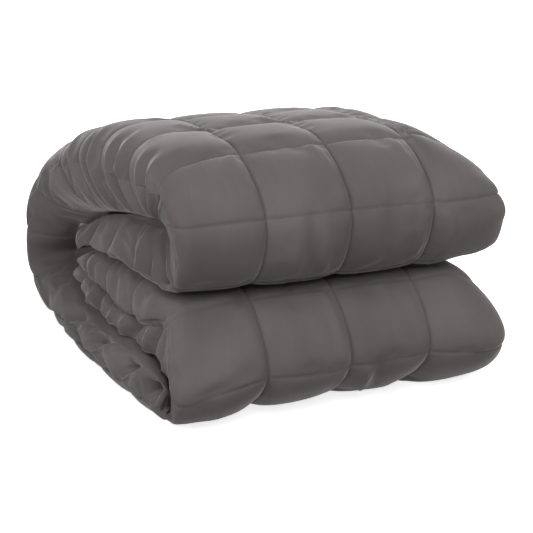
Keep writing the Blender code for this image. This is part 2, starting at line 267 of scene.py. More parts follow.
def left_face(seam, depth):
    """The left end from the crest, depth 0, to the crease, depth 1."""
    end = {name: spline(values, seam) for name, values in LEFT_END.items()}
    inset = end["crease_x"] - end["crest_x"]
    one_ply = end["crest_x"] + inset * (1 - rounded(depth, end["face"]))
    two_plies = end["crest_x"] + np.interp(depth, PLIES["depth"], PLIES["inset"])
    share = np.clip(seam - LOWER_FLAP, 0, 1)
    x = one_ply * (1 - share) + two_plies * share
    y = end["crest_y"] + (end["crease_y"] - end["crest_y"]) * depth
    z = end["crest_z"] + (end["crease_z"] - end["crest_z"]) * depth
    return stacked(x, y, z)


def left_edge_x(seam):
    """Where the left end starts to turn."""
    return spline(LEFT_END["crest_x"], seam) + spline(LEFT_END["turn"], seam)


def right_edge_x(seam):
    """Where the right end starts to turn."""
    return eased(RIGHT_END, "reach", seam) - eased(RIGHT_END, "turn", seam)


def drifted(seam, x):
    """The place along the strip of a seam that drifts towards the ends."""
    left = eased(DRIFT, "left", seam) * np.clip(-DRIFT_FROM - x, 0, DRIFT_WIDTH) ** DRIFT_CURVE
    right = eased(DRIFT, "right", seam) * np.clip(x - DRIFT_FROM, 0, DRIFT_WIDTH)
    return np.clip(seam + left + right, 0, LAST_SEAM)


def flat(seam, x):
    """The outer side between its turned edges."""
    return stacked(x, *side_yz("outer", drifted(seam, x)))


def right_turn(seam, depth, side="outer"):
    """The right edge of a side: depth 1 at the flat and 0 at the crest."""
    at = drifted(seam, np.full_like(seam, 2.0))
    own = side_yz(side, at)
    other = side_yz("inner" if side == "outer" else "outer", at)
    crest = eased(RIGHT_END, "crest", seam)
    square = eased(RIGHT_END, "square", seam)
    if side == "inner":
        crest = 1 - crest
        square = square + INNER_SQUARENESS
    share = depth + crest * (1 - depth)
    turn = eased(RIGHT_END, "turn", seam)
    x = eased(RIGHT_END, "reach", seam) - turn + turn * rounded(depth, square)
    return stacked(x, *(own[i] * share + other[i] * (1 - share) for i in range(2)))


def inside(seam, place):
    """The side that faces the next layer, from the left crease, 0, to the right, 1."""
    left = left_face(seam, np.ones_like(seam))
    right = right_turn(seam, np.ones_like(seam), "inner")
    x = left[..., 0] * (1 - place) + right[..., 0] * place
    straight = stacked(x, *side_yz("inner", seam))
    near = np.clip(1 - place / INSIDE_BLEND, 0, 1)[..., None] ** 2
    return left * near + straight * (1 - near)


def lean(points):
    """The small differences between the columns."""
    x, y, z = (points[..., i] for i in range(3))
    high = np.clip((z - RISE_FROM) / LEAN_HEIGHT, 0, 1)
    low = np.clip(1 - z / LEAN_HEIGHT, 0, 1) * np.clip(-y / LEAN_DEPTH, 0, 1)
    z = z + high * np.interp(x, COLUMNS["x"], COLUMNS["top_rise"])
    y = y - low * np.interp(x, COLUMNS["x"], COLUMNS["lower_lean"])
    return np.stack([x, y, z], axis=-1)


# ---------------------------------------------------------------- the grid of the skin

REFINE = 2                 # the grid has this many steps for each one of the simulated grid
CREST_AT = 2.1             # where the crest of an end lies in the pattern across the strip
CREASE_AT = 2.6            # where its crease lies
EDGE_SEAM_DEPTH = 0.06     # where the last column's seam runs on a turned edge
TURN_SPREAD = 0.7          # under 1: more of the pattern lies near the flat than near the seam
RIGHT_FADE = 4             # larger: the quilting fades later towards the crease, at the right
LEFT_FADE = 6              # and at the left

# How many simulated rows a square has, from each seam on: most where it shows most.
ROWS = table(
    "seam  rows",
    (0,     7),
    (3,     9),
    (4,    13),
    (6,    13),
    (11,    9),
    (13,   14),
    (18,   12),
    (20,   12),
    (21,   11),
)


def spread(t):
    """Places from 0 to 1, closer together at both ends."""
    return 0.5 - 0.5 * np.cos(np.pi * t)


def sine(t):
    """Places from 0 to 1, closer together at 1."""
    return np.sin(np.pi / 2 * t)


def seam_rows():
    """The place along the strip of each row of the grid."""
    rows = []
    for seam in range(LAST_SEAM):
        after = np.searchsorted(ROWS["seam"], seam, side="right")
        count = REFINE * int(ROWS["rows"][after - 1])
        t = np.arange(count) / count
        rows.append(seam + 0.5 * (t + spread(t)))
    return np.concatenate(rows + [[float(LAST_SEAM)]])


def ring_of_columns(rows):
    """The columns of the closed ring round the strip: points, pattern and quilting share.

    It runs from the left crest over the outer side to the right crest and back inside.
    """
    points, across, quilted = [], [], []

    def whole(t):
        return np.ones_like(t)

    def own_x(x, t):
        return x

    def add(count, surface, pattern=own_x, share=whole):
        """Columns on a surface, with count of them in the simulated grid."""
        t = np.arange(REFINE * count) / (REFINE * count)
        seam, t = np.meshgrid(rows, t, indexing="ij")
        made = surface(seam, t)
        points.append(made)
        across.append(pattern(made[..., 0], t))
        quilted.append(share(t))

    def turn_pattern(x, t):
        """The pattern on a turn, from its own x at the flat to 2 at the seam."""
        return np.sign(x) * (np.abs(x) + (2 - np.abs(x)) * t**TURN_SPREAD)

    def turned(t):
        return EDGE_SEAM_DEPTH + (1 - EDGE_SEAM_DEPTH) * spread(t)

    def left_flat(seam, t):
        return flat(seam, left_edge_x(seam) * (1 - sine(t)) - sine(t))

    def right_flat(seam, t):
        return flat(seam, right_edge_x(seam) * (1 - sine(1 - t)) + sine(1 - t))

    # the left end from its crest to its last seam, and on to the flat
    add(2, lambda seam, t: left_turn(seam, EDGE_SEAM_DEPTH * t),
        lambda x, t: -(CREST_AT + (2 - CREST_AT) * t))
    add(9, lambda seam, t: left_turn(seam, turned(t)), lambda x, t: turn_pattern(x, 1 - t))
    # the four columns of squares
    add(6, left_flat)
    add(12, lambda seam, t: flat(seam, spread(t) - 1))
    add(12, lambda seam, t: flat(seam, spread(t)))
    add(6, right_flat)
    # the right end from the flat to its last seam, and on to its crest
    add(9, lambda seam, t: right_turn(seam, turned(1 - t)), turn_pattern)
    add(2, lambda seam, t: right_turn(seam, EDGE_SEAM_DEPTH * (1 - t)),
        lambda x, t: 2 + (CREST_AT - 2) * t)
    # the right end from its crest to the inner side, the inner side and the left end's face
    add(7, lambda seam, t: right_turn(seam, spread(t), "inner"),
        lambda x, t: CREST_AT + (CREASE_AT - CREST_AT) * spread(t),
        lambda t: 1 - spread(t) ** RIGHT_FADE)
    add(4, lambda seam, t: inside(seam, 1 - t), lambda x, t: CREASE_AT + 0 * t, np.zeros_like)
    add(15, lambda seam, t: left_face(seam, 1 - spread(t)),
        lambda x, t: -(CREASE_AT + (CREST_AT - CREASE_AT) * spread(t)),
        lambda t: 1 - (1 - spread(t)) ** LEFT_FADE)
    points, across, quilted = (np.concatenate(part, axis=1) for part in (points, across, quilted))
    return lean(points), across, quilted


def ring_normals(points):
    """Outward normals of a grid whose columns close into a ring."""
    wrapped = np.concatenate([points[:, -1:], points, points[:, :1]], axis=1)
    along = np.gradient(points, axis=0)
    around = wrapped[:, 2:] - wrapped[:, :-2]
    return unit(np.cross(around, along))


# ---------------------------------------------------------------- quilting and creases

CROWN = 0.085              # height of a square's middle over its seams
CROWN_SHARPNESS = 3.4      # larger: flatter squares with narrower grooves
UNEVENNESS = 0.016         # slow rise and fall of the cloth
END_CROWN = 0.7            # crown of the squares' ends, as a share
TURN_PUFF = 0.5            # least share of it that is left on the turned edges
FACE_BLEND = 0.2           # past the crest, over which the end's own puff sets in
SECOND_PLY_AT = 2.25       # where the second ply of the lower flap starts on its left end
SECOND_PLY_BLEND = 0.15    # and the width over which it does
SECOND_PLY_FLATNESS = 0.7  # how much less it is quilted

SEAMS_WITHIN = 1.5         # the seams along the strip lie within this of its middle
GROOVE_DEPTH = 0.008       # the stitched line itself
GROOVE_WIDTH = 0.012
GROOVE_LIMIT = 1.2         # how much deeper it is at most, where two seams cross
PUCKER = 0.006             # short waves that a seam draws into the cloth beside it
PUCKER_START = 0.03        # how near the seam they start
PUCKER_REACH = 0.14        # and how far they reach
PUCKER_WAVES = 3.1         # how many there are on the side of a square

# The waves of a ripple: how close they are, where each starts for a seed, and height.
RIPPLE = (
    (1.000, 1.0, 1.0),
    (1.618, 2.3, 1.0),
    (0.472, 4.1, 0.7),
)
RIPPLE_HEIGHT = 2.7

CREASE_SHARPNESS = 1.5     # lower: a crease has a sharper ridge
CREASE_FADE = 1.5          # how far it fades past its ends, in widths


def crown_shape(place, valley=1.0):
    """1 in the middle of a square; its seams lie valley lower."""
    return 1 - valley * np.abs(2 * (place - np.floor(place)) - 1) ** CROWN_SHARPNESS


def to_seam(place):
    """Distance to the nearest whole number."""
    return np.abs(place - np.round(place))


def bell(distance, width):
    """1 at distance 0, fading to the sides."""
    return np.exp(-(distance / width) ** 2)


def ripple(at, seed):
    """An uneven wave between -1 and 1 that never repeats."""
    waves = (height * np.sin(2.0 * math.pi * pitch * at + phase * seed)
             for pitch, phase, height in RIPPLE)
    return sum(waves) / RIPPLE_HEIGHT


def swelling(seam, across):
    """Height of the quilted skin over the line of its seams, without the stitched lines."""
    crown = spline(FOLD["crown"], seam)
    valley = FOLD["valley"][np.clip(np.round(seam).astype(int), 0, LAST_SEAM)]
    over_edge = np.clip(2 * (np.abs(across) - SEAMS_WITHIN), 0, 1)
    puff = np.where(across < 0, spline(LEFT_END["puff"], seam), 1.0)
    second_ply = np.clip((-across - SECOND_PLY_AT) / SECOND_PLY_BLEND, 0, 1)
    second_ply = second_ply * np.clip(seam - LOWER_FLAP, 0, 1)
    puff = puff * (1 - SECOND_PLY_FLATNESS * second_ply)
    on_face = np.clip((np.abs(across) - 2) / FACE_BLEND, 0, 1)
    end = END_CROWN * (puff + TURN_PUFF * (1 - puff) * (1 - on_face))
    inner = np.abs(across) < SEAMS_WITHIN
    puffed = np.where(inner, crown_shape(across), 1 - (1 - end) * over_edge)
    squares = CROWN * crown_shape(seam, valley) * puffed
    slow = np.sin(2.1 * seam + 1.7 * across) + 0.6 * np.sin(1.3 * seam - 2.9 * across + 0.8)
    return crown * (squares + UNEVENNESS * slow)


def stitched_lines(seam, across):
    """Depth of the lines of the seams, and the short waves that they draw into the cloth."""
    row, column = np.round(seam), np.round(across)
    sewn_column = np.where(np.abs(across) < SEAMS_WITHIN, 1.0, 0.0)
    puckers, lines = 0, 0
    for away, along, seed, sewn in ((to_seam(seam), across, 1.7 * row, 1.0),
                                    (to_seam(across), seam, 2.9 * column, sewn_column)):
        beside = sewn * bell(away, PUCKER_REACH) * (1 - bell(away, PUCKER_START))
        puckers = puckers + ripple(along * PUCKER_WAVES, seed) * beside
        lines = lines + bell(away, GROOVE_WIDTH) * sewn
    return PUCKER * puckers - GROOVE_DEPTH * np.minimum(lines, GROOVE_LIMIT)


# Creases and folds, each a soft ridge, or a trough where its height is negative, along a
# line over the pattern.  seam and across are the two ends of the line, in squares, and
# width and height are its size.
CREASES = table(
    "seam_a across_a  seam_b across_b  width  height",
    # gathers that run from the top over the left end of the top layer
    ( 5.72,  -2.10,    5.80,  -2.60,   0.06,  0.020),
    ( 5.98,  -2.12,    6.06,  -2.60,   0.06, -0.025),
    ( 6.25,  -2.00,    6.32,  -2.60,   0.09,  0.045),
    ( 6.48,  -2.08,    6.50,  -2.60,   0.07, -0.045),
    ( 6.66,  -2.04,    6.68,  -2.55,   0.06,  0.030),
    ( 7.28,  -2.00,    7.24,  -2.60,   0.10,  0.045),
    ( 7.52,  -2.08,    7.48,  -2.60,   0.07, -0.040),
    ( 7.72,  -2.05,    7.70,  -2.60,   0.07,  0.030),
    ( 8.35,  -2.00,    8.35,  -2.60,   0.11,  0.040),
    ( 8.66,  -2.05,    8.66,  -2.60,   0.08, -0.035),
    ( 9.40,  -2.05,    9.35,  -2.60,   0.10,  0.035),
    # folds on the end of the upper flap
    ( 3.18,  -2.12,    3.30,  -2.55,   0.06,  0.060),
    ( 3.38,  -2.14,    3.50,  -2.60,   0.07, -0.120),
    ( 3.58,  -2.10,    3.66,  -2.50,   0.05,  0.080),
    ( 3.76,  -2.14,    3.82,  -2.60,   0.07, -0.160),
    ( 3.94,  -2.18,    3.96,  -2.50,   0.04,  0.045),
    ( 2.10,  -2.35,    2.18,  -2.60,   0.10, -0.090),
    ( 1.12,  -2.35,    1.18,  -2.60,   0.10, -0.090),
    # folds on the two plies of the lower flap
    (20.72,  -2.10,   20.25,  -1.88,   0.06,  0.035),
    (20.45,  -2.08,   20.10,  -1.96,   0.04, -0.040),
    (22.75,  -2.06,   22.40,  -1.90,   0.07,  0.018),
    (23.75,  -2.60,   23.45,  -2.22,   0.06, -0.080),
    (23.30,  -2.60,   22.65,  -2.25,   0.06,  0.070),
    (22.85,  -2.60,   22.45,  -2.22,   0.07, -0.090),
    (22.30,  -2.60,   21.85,  -2.30,   0.06,  0.050),
    (21.80,  -2.60,   21.30,  -2.25,   0.06,  0.070),
    (21.50,  -2.60,   21.00,  -2.22,   0.07, -0.090),
    (20.95,  -2.60,   20.50,  -2.25,   0.06,  0.060),
    (20.65,  -2.60,   20.30,  -2.20,   0.07, -0.080),
    # folds on the end of the bottom layer, each with a pocket before the next
    (13.80,  -2.60,   13.88,  -2.45,   0.12, -0.170),
    (14.08,  -2.60,   14.04,  -2.20,   0.05,  0.050),
    (14.70,  -2.60,   14.88,  -2.48,   0.11, -0.260),
    (15.10,  -2.58,   15.05,  -2.22,   0.05,  0.050),
    (15.68,  -2.60,   15.88,  -2.46,   0.12, -0.270),
    (16.10,  -2.60,   16.05,  -2.22,   0.05,  0.050),
    (16.64,  -2.60,   16.88,  -2.44,   0.13, -0.270),
    (17.06,  -2.60,   17.04,  -2.24,   0.05,  0.050),
    (17.40,  -2.60,   17.50,  -2.30,   0.06, -0.060),
    (17.66,  -2.58,   17.72,  -2.26,   0.05,  0.035),
    # soft upright waves on the front of the upper bend
    ( 4.95,  -0.66,    4.30,  -0.62,   0.06,  0.034),
    ( 4.98,  -0.34,    4.25,  -0.30,   0.05,  0.038),
    ( 4.95,  -0.50,    4.35,  -0.46,   0.06, -0.030),
    ( 4.95,   0.30,    4.30,   0.33,   0.06,  0.028),
    ( 4.97,   0.46,    4.40,   0.48,   0.05, -0.022),
    ( 4.98,   0.84,    4.30,   0.86,   0.04,  0.034),
    ( 4.90,   1.40,    4.30,   1.36,   0.07,  0.020),
    ( 5.92,  -0.18,    5.15,  -0.10,   0.04,  0.040),
    ( 5.92,  -1.14,    5.20,  -1.08,   0.04,  0.024),
    ( 5.95,   0.78,    5.30,   0.88,   0.04,  0.032),
    # and on the front of the lower bend
    (19.92,  -0.16,   19.15,  -0.10,   0.05,  0.036),
    (19.60,  -0.34,   19.06,  -0.28,   0.05,  0.024),
    (19.92,   0.82,   19.30,   0.88,   0.04,  0.034),
    (19.95,   0.56,   19.50,   0.62,   0.06,  0.024),
    (19.85,  -1.14,   19.10,  -1.09,   0.04,  0.020),
    # a pinch low on the front, and pinches at crossings of the seams on top
    (18.90,   0.20,   18.45,   0.30,   0.05,  0.040),
    (18.92,   0.34,   18.50,   0.42,   0.05, -0.040),
    (18.80,  -0.10,   18.30,  -0.06,   0.05,  0.030),
    ( 7.00,  -1.00,    7.20,  -1.28,   0.05,  0.030),
    ( 7.02,  -1.30,    6.90,  -1.75,   0.06,  0.020),
    ( 7.00,   0.00,    7.22,  -0.25,   0.05,  0.025),
    ( 8.00,  -1.00,    8.20,  -1.25,   0.06,  0.025),
    (20.05,  -1.95,   20.08,  -1.30,   0.06,  0.020),
)


def creases(seam, across):
    """Height of all the creases and folds."""
    height = np.zeros_like(seam)
    for seam_a, across_a, seam_b, across_b, width, size in zip(*CREASES.values()):
        run = np.array([seam_b - seam_a, across_b - across_a])
        length = np.linalg.norm(run)
        run = run / length
        along = (seam - seam_a) * run[0] + (across - across_a) * run[1]
        beside = (seam - seam_a) * run[1] - (across - across_a) * run[0]
        past = np.maximum(np.maximum(-along, along - length), 0)
        faded = (past / (CREASE_FADE * width)) ** 2
        height += size * np.exp(-np.abs(beside / width) ** CREASE_SHARPNESS - faded)
    return height


# ---------------------------------------------------------------- the simulated cloth

SIM_FRAMES = 22
SIM_CAP = 0.13             # how far a point may move, in squares
SPARE_LEVELS = 8           # steps of the weights that share out the spare cloth

CLOTH_SETTINGS = {
    "quality": 6,
    "mass": 0.15,
    "tension_stiffness": 12.0,
    "compression_stiffness": 12.0,
    "shear_stiffness": 4.0,
    "bending_stiffness": 0.15,
    "air_damping": 2.0,
    "use_pressure": True,
    "uniform_pressure_force": 2.2,
    "vertex_group_mass": "held",
    "vertex_group_shrink": "spare",
    "shrink_min": -0.008,   # spare cloth in the squares, as a share
    "shrink_max": -0.11,    # and on the left end, where it lies in gathers
}

ON_SEAM = 1e-6              # a point this near a seam is sewn down
HIDDEN = 0.25               # so is one with less quilting than this, between the layers

# Stretches of the strip that are held, and between which places across it.
HELD = table(
    "seam_from  seam_to  across_from  across_to",
    # the free ends of the flaps
    (-1.0,  0.1,  -9.0,   9.0),
    (23.9, 25.0,  -9.0,   9.0),
    # the flaps lie between the top and the bottom layer
    (-1.0,  3.7,  -1.9,   9.0),
    (20.8, 25.0,  -1.9,   9.0),
    # the bottom layer rests on the floor
    (13.2, 17.9,  -1.8,   9.0),
    # the left corners of the two bends
    ( 3.8,  5.7,  -9.0,  -2.1),
    (17.6, 20.0,  -9.0,  -2.1),
)

GATHERS_AT = 2.1            # where the gathers of the left end start
GATHERS_BLEND = 0.2
LOWER_GATHERS = 0.3         # their share on the lower flap


def held_points(seam, across, quilted):
    """Where the cloth is sewn down or lies on another layer."""
    held = (to_seam(seam) < ON_SEAM) | (quilted < HIDDEN)
    held |= (to_seam(across) < ON_SEAM) & (np.abs(across) < SEAMS_WITHIN)
    for seam_from, seam_to, across_from, across_to in zip(*HELD.values()):
        in_stretch = (seam > seam_from) & (seam < seam_to)
        held |= in_stretch & (across > across_from) & (across < across_to)
    return held


def gathered_share(seam, across, quilted):
    """How much spare cloth there is, from 0 in the squares to 1 in the gathers."""
    share = np.clip((-across - GATHERS_AT) / GATHERS_BLEND, 0, 1) * quilted
    return share * np.where(seam > LOWER_FLAP, LOWER_GATHERS, 1.0)


def cloth_object(points, held, gathered):
    """A cloth of the grid of points, held where it is sewn down."""
    rows, columns = held.shape
    number = np.arange(rows * columns).reshape(rows, columns)
    after = np.roll(number, -1, axis=1)
    faces = np.stack([number[:-1], after[:-1], after[1:], number[1:]], axis=-1).reshape(-1, 4)
    mesh = bpy.data.meshes.new("cloth_sim")
    mesh.from_pydata((points * SQUARE).reshape(-1, 3), [], faces.tolist())
    sim = add_object("cloth_sim", mesh)
    pins = sim.vertex_groups.new(name="held")
    pins.add(number[held].tolist(), 1.0, "REPLACE")
    spare = sim.vertex_groups.new(name="spare")
    for level in range(1, SPARE_LEVELS + 1):
        chosen = np.round(gathered * SPARE_LEVELS) == level
        spare.add(number[chosen].tolist(), level / SPARE_LEVELS, "REPLACE")
    cloth = sim.modifiers.new("cloth", "CLOTH")
    for name, value in CLOTH_SETTINGS.items():
        setattr(cloth.settings, name, value)
    cloth.settings.effector_weights.gravity = 0.0
    cloth.collision_settings.use_collision = False
    cloth.point_cache.frame_start = 1
    cloth.point_cache.frame_end = SIM_FRAMES
    return sim


def cloth_moves(points, held, gathered):
    """How far a grid of cloth moves when air presses it outwards between its seams."""
    sim = cloth_object(points, held, gathered)
    for frame_number in range(1, SIM_FRAMES + 1):
        bpy.context.scene.frame_set(frame_number)
    result = sim.evaluated_get(bpy.context.evaluated_depsgraph_get()).to_mesh()
    moved = np.empty(points.size)
    result.vertices.foreach_get("co", moved)
    bpy.data.objects.remove(sim, do_unlink=True)
    bpy.context.scene.frame_set(1)
    moves = moved.reshape(points.shape) / SQUARE - points
    length = np.linalg.norm(moves, axis=-1, keepdims=True)
    return moves * SIM_CAP * np.tanh(length / SIM_CAP) / np.maximum(length, TINY)


def refined(values, axis, closed):
    """A grid with REFINE steps for each of its own, on smooth curves through its values."""
    values = np.moveaxis(values, axis, 0)
    if closed:
        padded = np.concatenate([values[-1:], values, values[:2]])
    else:
        padded = np.concatenate([values[:1], values, values[-1:]])
    around = [padded[i:len(padded) - 3 + i] for i in range(4)]
    fine = np.stack([curve(*around, step / REFINE) for step in range(REFINE)], axis=1)
    fine = fine.reshape((-1,) + values.shape[1:])
    if not closed:
        fine = np.concatenate([fine, values[-1:]])
    return np.moveaxis(fine, 0, axis)


# ---------------------------------------------------------------- the mesh

CONTACT_FROM = -0.25        # the y behind which the two bends lie on each other
CONTACT_HEIGHT = 1.45
CONTACT_GAP = 0.01          # half the gap that is left between them
CONTACT_ACROSS = -1.9       # the upper one touches to the right of this


def skin():
    """Points of the whole skin in squares, with its rows and its pattern."""
    rows = seam_rows()
    points, across, quilted = ring_of_columns(rows)
    seam = np.broadcast_to(rows[:, None], across.shape)
    normals = ring_normals(points)
    height = (swelling(seam, across) + creases(seam, across)) * quilted
    points = points + normals * height[..., None]
    every = (slice(None, None, REFINE), slice(None, None, REFINE))
    grid = seam[every], across[every], quilted[every]
    moves = cloth_moves(points[every], held_points(*grid), gathered_share(*grid))
    points = points + refined(refined(moves, 0, False), 1, True)
    lines = stitched_lines(seam, across) * quilted
    points = points + ring_normals(points) * lines[..., None]
    # The two bends lie on each other, and the whole on the floor.
    z = points[..., 2]
    behind = points[..., 1] > CONTACT_FROM
    above = (seam < 4) & behind & (across > CONTACT_ACROSS)
    below = (seam > LOWER_FLAP) & behind
    z = np.where(above, np.maximum(z, CONTACT_HEIGHT + CONTACT_GAP), z)
    z = np.where(below, np.minimum(z, CONTACT_HEIGHT - CONTACT_GAP), z)
    points[..., 2] = np.maximum(z, 0.0)
    return rows, points, across


END_ROUNDING = 0.07         # how far the rounded free ends stand out past their seams
END_TURNS = (25.0, 50.0, 72.0, 86.0)
END_SMOOTHING = 12          # columns on each side over which the core of an end is smoothed


def rounded_end(row, before):
    """Rows that round off a free end, from the last row of the skin and the one before."""
    ahead = (row - before).mean(axis=0)
    ahead /= np.linalg.norm(ahead)
    order = np.argsort(row[:, 0])
    count = 2 * END_SMOOTHING + 1
    wide = np.pad(row[order, 2], END_SMOOTHING, mode="edge")
    smooth = np.convolve(wide, np.ones(count) / count, mode="valid")
    core = row.copy()
    core[:, 2] = np.interp(row[:, 0], row[order, 0], smooth)
    inset = 0.5 * (row[:, 2].max() - row[:, 2].min())
    core[:, 0] = np.clip(row[:, 0], row[:, 0].min() + inset, row[:, 0].max() - inset)
    made = []
    for turn in np.radians(END_TURNS):
        made.append(core + (row - core) * np.cos(turn) + ahead * END_ROUNDING * np.sin(turn))
    return np.stack(made)


PAINTED_SEAM_SHADE_WIDTH = 0.016          # how wide the painted shade along the groove of a stitched seam is
PAINTED_SEAM_SHADE_STRENGTH = 0.08         # and how dark that painted shade is


def painted_seam_shade(seams, across):
    """How dark the cloth is painted at each point: painted shade, darkest in the grooves of its
    seams.
    """
    columns = np.where(np.abs(across) < SEAMS_WITHIN, to_seam(across), 1.0)
    away = np.minimum(to_seam(seams[:, None]), columns[None, :])
    return PAINTED_SEAM_SHADE_STRENGTH * bell(away, PAINTED_SEAM_SHADE_WIDTH)


def blanket_mesh(points, rows, across):
    """The closed mesh of the skin, with its free ends rounded off and the cloth laid out."""
    first = rounded_end(points[0], points[1])[::-1]
    last = rounded_end(points[-1], points[-2])
    grid = np.concatenate([first, points, last])
    seams = np.concatenate([np.zeros(len(first)), rows, np.full(len(last), float(LAST_SEAM))])
    girth = np.linalg.norm(np.diff(points, axis=1), axis=-1).mean(axis=0)
    closing = np.linalg.norm(points[:, 0] - points[:, -1], axis=-1).mean()
    along = np.linalg.norm(np.diff(grid, axis=0), axis=-1).mean(axis=1)
    u = np.concatenate([[0.0], np.cumsum(girth)]) * SQUARE
    v = np.concatenate([[0.0], np.cumsum(along)]) * SQUARE
    rights = np.append(u[1:], u[-1] + closing * SQUARE)
    count = len(u)
    bm = bmesh.new()
    uv_layer = bm.loops.layers.uv.new("cloth")
    shade = bm.verts.layers.float.new("seam")
    verts = [[bm.verts.new(point) for point in row] for row in (grid - np.array(MIDDLE)) * SQUARE]
    # the seam layer holds how much painted shade each point gets, darkest in the grooves of the
    # seams
    for row, values in zip(verts, painted_seam_shade(seams, across[0])):
        for vert, value in zip(row, values):
            vert[shade] = value
    for i, (row, next_row) in enumerate(zip(verts, verts[1:])):
        for k, right in enumerate(rights):
            after = (k + 1) % count
            face = bm.faces.new((row[k], row[after], next_row[after], next_row[k]))
            corners = ((u[k], v[i]), (right, v[i]), (right, v[i + 1]), (u[k], v[i + 1]))
            for loop, corner in zip(face.loops, corners):
                loop[uv_layer].uv = corner
    for row in (verts[0], verts[-1]):
        bm.faces.new(row)
    bmesh.ops.recalc_face_normals(bm, faces=bm.faces)
    for face in bm.faces:
        face.smooth = True
    mesh = bpy.data.meshes.new("blanket_shell")
    bm.to_mesh(mesh)
    bm.free()
    return mesh


STITCH_PITCH = 0.040        # from stitch to stitch, in squares: 4 mm
STITCH_LENGTH = 0.030
STITCH_WIDTH = 0.0042       # half the width of the thread
STITCH_LIFT = 0.001
STITCH_CLEARANCE = 0.02     # stitches nearer the floor than this are left out
STITCH_FROM_CREASE = 0.1    # how far from the crease of the left end they stop

# A stitch is a spindle: the place of each section along it, as a share, and its width.
SPINDLE = ((-0.5, 0.0), (-0.3, 1.0), (0.3, 1.0), (0.5, 0.0))
TIP = [(0, 0)]
RIM = [(1, 0), (0, 1), (-1, 0), (0, -1)]


def along_line(line, normals):
    """Middles, directions and normals of the stitches along a line over the skin."""
    steps = np.linalg.norm(np.diff(line, axis=0), axis=-1)
    place = np.concatenate([[0.0], np.cumsum(steps)])
    at = np.arange(0.5 * STITCH_PITCH, place[-1], STITCH_PITCH)

    def read(values, where):
        return np.stack([np.interp(where, place, values[:, i]) for i in range(3)], axis=-1)

    run = read(line, at + 0.5 * STITCH_LENGTH) - read(line, at - 0.5 * STITCH_LENGTH)
    return read(line, at), run, read(normals, at)


def stitch_places(points, rows, across):
    """Middles, directions and normals of the stitches on every seam of the outer side."""
    normals = ring_normals(points)
    outer = np.flatnonzero(np.abs(across[0]) <= CREST_AT)
    on_face = (across[0] < 0) & (across[0] > STITCH_FROM_CREASE - CREASE_AT)
    left_end = np.flatnonzero((np.arange(across.shape[1]) > outer.max()) & on_face)
    order = np.concatenate([left_end, outer])
    made = []
    for seam in range(1, LAST_SEAM):
        i = np.argmin(np.abs(rows - seam))
        made.append(along_line(points[i][order], normals[i][order]))
    for column in (-1.0, 0.0, 1.0):
        k = outer[np.argmin(np.abs(across[0][outer] - column))]
        made.append(along_line(points[:, k], normals[:, k]))
    middle, run, up = (np.concatenate(parts) for parts in zip(*made))
    clear = middle[:, 2] > STITCH_CLEARANCE
    return middle[clear], unit(run[clear]), up[clear]


def stitch_mesh(points, rows, across):
    """A small spindle of thread for each stitch."""
    middle, run, up = stitch_places(points, rows, across)
    side = unit(np.cross(run, up))
    up = np.cross(side, run)
    middle = middle + up * STITCH_LIFT
    vertices = []
    for end, width in SPINDLE:
        centre = middle + run * end * STITCH_LENGTH
        for a, b in RIM if width else TIP:
            vertices.append(centre + (side * a + up * b) * STITCH_WIDTH * width)
    vertices = np.stack(vertices, axis=1)
    faces = []
    for a in range(4):
        b = (a + 1) % 4
        faces += [(0, 1 + b, 1 + a), (1 + a, 1 + b, 5 + b, 5 + a), (5 + a, 5 + b, 9)]
    count = vertices.shape[1]
    every = [tuple(count * n + i for i in face) for n in range(len(vertices)) for face in faces]
    mesh = bpy.data.meshes.new("stitches")
    mesh.from_pydata(((vertices.reshape(-1, 3) - np.array(MIDDLE)) * SQUARE).tolist(), [], every)
    mesh.shade_smooth()
    return mesh


# ---------------------------------------------------------------- materials

class Nodes:
    """A material's nodes, with short calls to add and join them."""

    def __init__(self, name):
        self.material = bpy.data.materials.new(name)
        self.material.use_nodes = True
        self.tree = self.material.node_tree
        self.shader = self.tree.nodes["Principled BSDF"]

    def add(self, kind, sources=None, **values):
        """A node of a kind, with its properties set and its inputs set or linked."""
        node = self.tree.nodes.new(kind)
        for name, value in values.items():
            setattr(node, name, value)
        for name, source in (sources or {}).items():
            self.feed(node.inputs[name], source)
        return node

    def feed(self, socket, source):
        if isinstance(source, bpy.types.NodeSocket):
            self.tree.links.new(source, socket)
        else:
            socket.default_value = source

    def maths(self, operation, a, b):
        node = self.add("ShaderNodeMath", operation=operation)
        self.feed(node.inputs[0], a)
        self.feed(node.inputs[1], b)
        return node.outputs[0]

    def blended(self, *parts):
        """The sum of parts, each a socket and its share."""
        made = [self.maths("MULTIPLY", socket, share) for socket, share in parts]
        total = made[0]
        for part in made[1:]:
            total = self.maths("ADD", total, part)
        return total

    def mixed(self, share, a, b):
        node = self.add("ShaderNodeMix", data_type="RGBA")
        self.feed(node.inputs["Factor"], share)
        self.feed(node.inputs["A"], a)
        self.feed(node.inputs["B"], b)
        return node.outputs["Result"]

    def output(self, kind, name, sources, **values):
        """One output of a new node."""
        return self.add(kind, sources, **values).outputs[name]

    def finish(self, **values):
        """The material, once its shader's inputs are set: a space is written as _."""
        for name, value in values.items():
            self.feed(self.shader.inputs[name.replace("_", " ")], value)
        return self.material


CLOTH_DARK = (0.106, 0.094, 0.092, 1.0)
CLOTH_LIGHT = (0.140, 0.125, 0.122, 1.0)
# the colour towards which the seams are darkened: painted shade in their grooves
PAINTED_SEAM_SHADE_COLOUR = (0.080, 0.071, 0.070, 1.0)
SHEEN_COLOUR = (0.95, 0.90, 0.88, 1.0)
THREAD_COLOUR = (0.105, 0.095, 0.092, 1.0)

# How fine the patterns of the cloth and the thread are: the scales of their textures, over
# places in metres.
PATCHES, STREAKS, PILE, WEAVE, TWIST = 9.0, 160.0, 900.0, 300.0, 900.0


